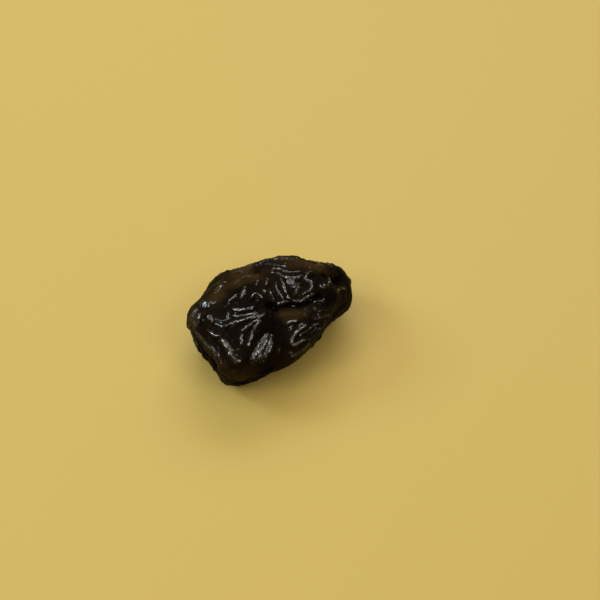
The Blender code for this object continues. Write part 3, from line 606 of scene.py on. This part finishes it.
class Maker:
    # adds nodes to one tree

    def __init__(self, tree):
        self.tree = tree

    def node(self, kind, settings=None, inputs=None, output=0):
        made = self.tree.nodes.new(kind)
        for name, setting in (settings or {}).items():
            setattr(made, name, setting)
        for name, value in (inputs or {}).items():
            socket = made.inputs[name]
            if isinstance(value, Value):
                self.tree.links.new(value.socket, socket)
            else:
                socket.default_value = value
        return Value(self, made.outputs[output]) if made.outputs else made

    def noise(self, place, spacing, seed, detail, roughness=0.5):
        inputs = {"Vector": place, "Scale": 1 / spacing, "Detail": detail}
        inputs.update({"Roughness": roughness, "W": seed})
        return self.node("ShaderNodeTexNoise", {"noise_dimensions": "4D"}, inputs)

    def scaled(self, vector, factor):
        return self.node("ShaderNodeVectorMath", {"operation": "SCALE"}, {0: vector, "Scale": factor})


fineWrinkles = {
    "wrinkle height": 0.09 * mm,
    "wrinkle spacing": 1.5 * mm,
    "crinkle height": 0.05 * mm,
    "crinkle spacing": 0.75 * mm,
    "bead height": 0.24 * mm,
    "bead spacing": 0.8 * mm,
    "patch spacing": 5 * mm,  # the crinkles come and go in patches
    "crinkles where shiny": 3.5,
    "flattening on crests": 0.8,
    "seed": 4.0,
}


def fineSkinTree(skin):
    tree = bpy.data.node_groups.new("fineSkin", "GeometryNodeTree")
    tree.interface.new_socket("Geometry", in_out="INPUT", socket_type="NodeSocketGeometry")
    for name in fineWrinkles:
        tree.interface.new_socket(name, in_out="INPUT", socket_type="NodeSocketFloat")
    tree.interface.new_socket("Geometry", in_out="OUTPUT", socket_type="NodeSocketGeometry")
    maker = Maker(tree)
    given = {name: maker.node("NodeGroupInput", output=name) for name in ["Geometry", *fineWrinkles]}
    place = maker.node("GeometryNodeInputPosition")
    normal = maker.node("GeometryNodeInputNormal")

    def mark(name):
        return maker.node("GeometryNodeInputNamedAttribute", {"data_type": "FLOAT"}, {"Name": name})

    def ridges(name, seedStep, width):
        # thin ridges where a noise crosses its middle
        waves = maker.noise(place, given[name + " spacing"], given["seed"] + seedStep, 1.0, 0.4)
        return (1 - abs(waves - 0.5).between(0.0, width)) * given[name + " height"]

    crest = mark("crest")
    patches = maker.noise(place, given["patch spacing"], given["seed"] + 9, 1.0).between(0.42, 0.6)
    crinkled = patches + mark("gloss") * given["crinkles where shiny"]
    lift = ridges("wrinkle", 0, 0.16) + ridges("crinkle", 3, 0.2) * crinkled
    beads = maker.noise(place, given["bead spacing"], given["seed"] + 20, 0.0) * 2 - 1
    lift = lift * (1 - crest * given["flattening on crests"])
    lift = (lift + beads * crest * crest * given["bead height"]) * mark("clearOfRest")
    offset = maker.scaled(normal, lift)
    moved = {"Geometry": given["Geometry"], "Offset": offset}
    real = {"Geometry": maker.node("GeometryNodeSetPosition", {}, moved)}
    painted = {"Geometry": maker.node("GeometryNodeRealizeInstances", {}, real), "Material": skin}
    finished = maker.node("GeometryNodeSetMaterial", {}, painted)
    maker.node("NodeGroupOutput", {}, {"Geometry": finished})
    return tree


def plainMesh(obj, name):
    # the evaluated object as a plain mesh object, with its modifiers gone
    graph = bpy.context.evaluated_depsgraph_get()
    mesh = bpy.data.meshes.new_from_object(obj.evaluated_get(graph))
    bpy.data.objects.remove(obj)
    plain = bpy.data.objects.new(name, mesh)
    mesh.name = name
    bpy.context.scene.collection.objects.link(plain)
    return plain


def fitToBox(mesh, low, high):
    # the finer relief may not stand out of the CAD solid's box
    flat = np.empty(len(mesh.vertices) * 3)
    mesh.vertices.foreach_get("co", flat)
    points = flat.reshape(-1, 3)
    least, most = points.min(0), points.max(0)
    scale = (np.array(high) - low) / (most - least)
    mesh.vertices.foreach_set("co", ((points - least) * scale + low).ravel())
    mesh.update()


def makeSkin(material):
    points, quads, marks = foldedSkin()
    mesh = bpy.data.meshes.new("skinDraft")
    mesh.from_pydata(points.tolist(), [], quads.tolist())
    for name, values in marks.items():
        mesh.attributes.new(name, "FLOAT", "POINT").data.foreach_set("value", values)
    mesh.shade_smooth()
    draft = bpy.data.objects.new("skinDraft", mesh)
    bpy.context.scene.collection.objects.link(draft)
    print("folded skin:", len(quads), "quads")
    tree = fineSkinTree(material)
    modifier = draft.modifiers.new("fineSkin", "NODES")
    modifier.node_group = tree
    for item in tree.interface.items_tree:
        if item.in_out == "INPUT" and item.name in fineWrinkles:
            modifier[item.identifier] = fineWrinkles[item.name]
    skin = plainMesh(draft, "pruneSkin")
    fitToBox(skin.data, *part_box("prune"))
    normals = np.empty(3 * len(skin.data.vertices))
    skin.data.vertex_normals.foreach_get("vector", normals)
    skin.data.attributes.new("faceUp", "FLOAT", "POINT").data.foreach_set("value", normals[2::3])
    print("fine wrinkles added:", len(skin.data.vertices), "points")
    return skin


skinLook = {
    "paintedShadeColour": (0.0014, 0.0008, 0.0005),  # painted shade, in the valleys and wherever the crests are low or face down
    "skinColour": (0.0060, 0.0034, 0.0017),
    "oliveAndPaintedReflectionColour": (0.034, 0.0180, 0.0034),  # olive tone of the skin, and painted reflection of the floor and room on the rim, shoulder, facet, lips and low front wall
    "redColour": (0.016, 0.0050, 0.0028),  # in patches
    "paintedHighlightColour": (0.068, 0.058, 0.035),  # painted highlight along the crests of the stem-end lips and the loop
    "slitColour": (0.022, 0.0075, 0.0035),
    "dullRoughness": 0.52,
    "crestRoughness": 0.24,
    "coatRoughness": 0.17,
    "coatIor": 2.6,
    "ior": 1.45,
    "specular": 0.03,
    "blotchSize": 7 * mm,
    "redPatchSize": 5 * mm,
    "speckleSize": 0.9 * mm,  # the gleam varies at this size
    "speckSize": 0.7 * mm,
    "poreSize": 0.42 * mm,
    "netSize": 0.85 * mm,  # the gleam is broken into a net of small cells
    "netDrift": 0.7 * mm,  # whose lines wander this far
    "bump": 0.3,
    "bumpDepth": 0.05 * mm,
}


def skinMaterial():
    material = bpy.data.materials.new("pruneSkinGloss")
    material.use_nodes = True
    material.node_tree.nodes.clear()
    maker = Maker(material.node_tree)
    place = maker.node("ShaderNodeTexCoord", output=3)

    def mark(name):
        return maker.node("ShaderNodeAttribute", {"attribute_name": name}, output=2)

    def cloud(size, detail, seed):
        return maker.noise(place, skinLook[size], seed, detail)

    def tinted(factor, base, colour):
        inputs = {0: factor, 6: base, 7: (*skinLook[colour], 1)}
        return maker.node("ShaderNodeMix", {"data_type": "RGBA"}, inputs, output=2)

    foldHeight, crest, gloss, oliveAndReflection = mark("foldHeight"), mark("crest"), mark("gloss"), mark("oliveAndReflection")
    faceUp = mark("faceUp").between(0.25, 0.5)
    speckle = cloud("speckleSize", 2.0, 5.0)

    # the net of small cells
    driftInputs = {"Vector": place, "Scale": 1 / skinLook["speckleSize"], "Detail": 0.0}
    drift = maker.node("ShaderNodeTexNoise", {}, driftInputs, output=1)
    moved = {0: place, 1: maker.scaled(drift, skinLook["netDrift"])}
    drifted = maker.node("ShaderNodeVectorMath", {"operation": "ADD"}, moved)
    netInputs = {"Vector": drifted, "Scale": 1 / skinLook["netSize"]}
    cells = maker.node("ShaderNodeTexVoronoi", {"feature": "DISTANCE_TO_EDGE"}, netInputs)
    net = cells.between(0.0, 0.2)

    # the crests gleam, and small specks on their flanks
    lit = (0.35 + 0.65 * speckle.between(0.42, 0.56)) * faceUp
    dulled = 1 - oliveAndReflection * 0.9
    polish = crest.between(0.72, 1.0) * (0.3 + 0.7 * net) * lit * dulled
    polish = polish.maths("MAXIMUM", gloss.between(0.3, 0.7) * (0.15 + 0.85 * net) * lit)
    specks = cloud("speckSize", 0.0, 21.0).between(0.64, 0.82) * crest.between(0.15, 0.5)
    polish = polish.maths("MAXIMUM", specks * lit * dulled * 0.6)

    # painted shade: darkest in the valleys and wherever the crests are low or face down; olive brown
    # tone with painted reflection on the rim, shoulder, facet, lips and low front wall
    ridgeOutOfPaintedShade = crest.between(0.1, 0.7) * foldHeight.between(-0.7, 0.2)
    colour = tinted(ridgeOutOfPaintedShade, (*skinLook["paintedShadeColour"], 1), "skinColour")
    blotches = cloud("blotchSize", 2.0, 1.0).between(0.3, 0.65)
    # olive tone in random blotches, with painted reflection where these places are strong; none in the
    # creases, which keep the painted shade
    oliveAndReflectionShare = (0.16 + oliveAndReflection * 0.95) * blotches * foldHeight.between(-0.5, 0.1)
    colour = tinted(oliveAndReflectionShare.maths("MINIMUM", 1.0), colour, "oliveAndPaintedReflectionColour")
    redness = cloud("redPatchSize", 2.0, 12.0).between(0.52, 0.7) * 0.3
    colour = tinted(redness, colour, "redColour")
    # painted highlight: mottled pale streaks along the lip and loop crests
    paintedHighlightShare = mark("paintedHighlight").between(0.15, 0.9) * (0.2 + 0.8 * speckle.between(0.35, 0.6))
    colour = tinted(paintedHighlightShare, colour, "paintedHighlightColour")
    colour = tinted(mark("slit").between(0.25, 0.9) * 0.85, colour, "slitColour")

    lostRoughness = skinLook["dullRoughness"] - skinLook["crestRoughness"]
    grain = (cloud("poreSize", 2.0, 8.0) + speckle) * 0.5
    bumpInputs = {"Strength": skinLook["bump"], "Distance": skinLook["bumpDepth"], "Height": grain}
    shader = maker.node("ShaderNodeBsdfPrincipled", {}, {
        "Base Color": colour,
        "Roughness": skinLook["dullRoughness"] - lostRoughness * polish,
        "Normal": maker.node("ShaderNodeBump", {}, bumpInputs),
        "IOR": skinLook["ior"],
        "Specular IOR Level": skinLook["specular"],
        "Coat Weight": polish,
        "Coat Roughness": skinLook["coatRoughness"],
        "Coat IOR": skinLook["coatIor"],
    })
    maker.node("ShaderNodeOutputMaterial", {}, {"Surface": shader})
    print("skin material ready")
    return material


def plainMaterial(name, colour, roughness):
    material = bpy.data.materials.new(name)
    material.use_nodes = True
    shader = material.node_tree.nodes["Principled BSDF"]
    shader.inputs["Base Color"].default_value = (*colour, 1)
    shader.inputs["Roughness"].default_value = roughness
    return material


studio = {
    "floorColour": (0.62, 0.44, 0.10),
    "floorRoughness": 0.6,
    "floorSize": 3.0,
    "worldColour": (1.0, 0.93, 0.82),
    "worldStrength": 0.09,
    # degrees round from the camera, elevation and metres from the fruit,
    # then size in metres, watts and colour
    "lamps": {
        "ceiling": ((-30.0, 75.0, 0.8), (1.3, 1.1), 4.6, (1.0, 0.96, 0.9)),
        "farSide": ((170.0, 42.0, 0.8), (0.7, 0.35), 2.6, (1.0, 0.97, 0.92)),
        "leftFront": ((-60.0, 45.0, 0.8), (0.25, 0.25), 0.8, (1.0, 0.97, 0.93)),
        "rightFront": ((50.0, 48.0, 0.8), (0.3, 0.25), 0.8, (1.0, 0.96, 0.9)),
        "window": ((-105.0, 34.0, 0.8), (0.26, 0.26), 2.4, (0.6, 0.8, 1.0)),
    },
}

photoView = {
    "azimuth": -32.0,
    "elevation": 50.0,
    "distance": 0.286,
    "lens": 80.0,
    "sensor": 36.0,
    "nearest": 0.005,
    "aimRight": 5.3004,  # mm from the middle of the fruit to the middle of the picture
    "aimUp": 1.8455,
}


def turnedFrom(place, back):
    # stands at the place and looks the other way than back
    return Matrix.Translation(place) @ back.to_track_quat("Z", "Y").to_matrix().to_4x4()


def addLamp(name, place, size, power, colour, middle):
    azimuth, elevation, distance = place
    back = lookAxes(photoView["azimuth"] + azimuth, elevation)[2]
    light = bpy.data.lights.new(name, "AREA")
    light.shape = "RECTANGLE"
    light.size, light.size_y = size
    light.energy = power
    light.color = colour
    lamp = bpy.data.objects.new(name, light)
    bpy.context.scene.collection.objects.link(lamp)
    lamp.matrix_world = turnedFrom(middle + back * distance, back)


def addStudio(middle):
    size = studio["floorSize"] / 2
    mesh = bpy.data.meshes.new("floor")
    corners = [(-size, -size, 0), (size, -size, 0), (size, size, 0), (-size, size, 0)]
    mesh.from_pydata(corners, [], [(0, 1, 2, 3)])
    paint = plainMaterial("paleFloor", studio["floorColour"], studio["floorRoughness"])
    mesh.materials.append(paint)
    floor = bpy.data.objects.new("floor", mesh)
    bpy.context.scene.collection.objects.link(floor)
    world = bpy.data.worlds.new("studio")
    world.use_nodes = True
    background = world.node_tree.nodes["Background"]
    background.inputs["Color"].default_value = (*studio["worldColour"], 1)
    background.inputs["Strength"].default_value = studio["worldStrength"]
    bpy.context.scene.world = world
    bpy.context.scene.view_settings.view_transform = "Standard"
    for name, (place, lampSize, power, colour) in studio["lamps"].items():
        addLamp(name, place, lampSize, power, colour, middle)
    print("studio ready")


def addCamera(middle):
    right, up, back = lookAxes(photoView["azimuth"], photoView["elevation"])
    aim = middle + (right * photoView["aimRight"] + up * photoView["aimUp"]) * mm
    data = bpy.data.cameras.new("photoCamera")
    data.lens = photoView["lens"]
    data.sensor_width = photoView["sensor"]
    data.clip_start = photoView["nearest"]
    camera = bpy.data.objects.new("photoCamera", data)
    bpy.context.scene.collection.objects.link(camera)
    camera.matrix_world = turnedFrom(aim + back * photoView["distance"], back)
    bpy.context.scene.camera = camera
    print("camera ready")


skin = makeSkin(skinMaterial())
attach(skin, "root")
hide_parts("prune")

middle = (Vector(cadBox[0]) + Vector(cadBox[1])) / 2
addStudio(middle)
addCamera(middle)
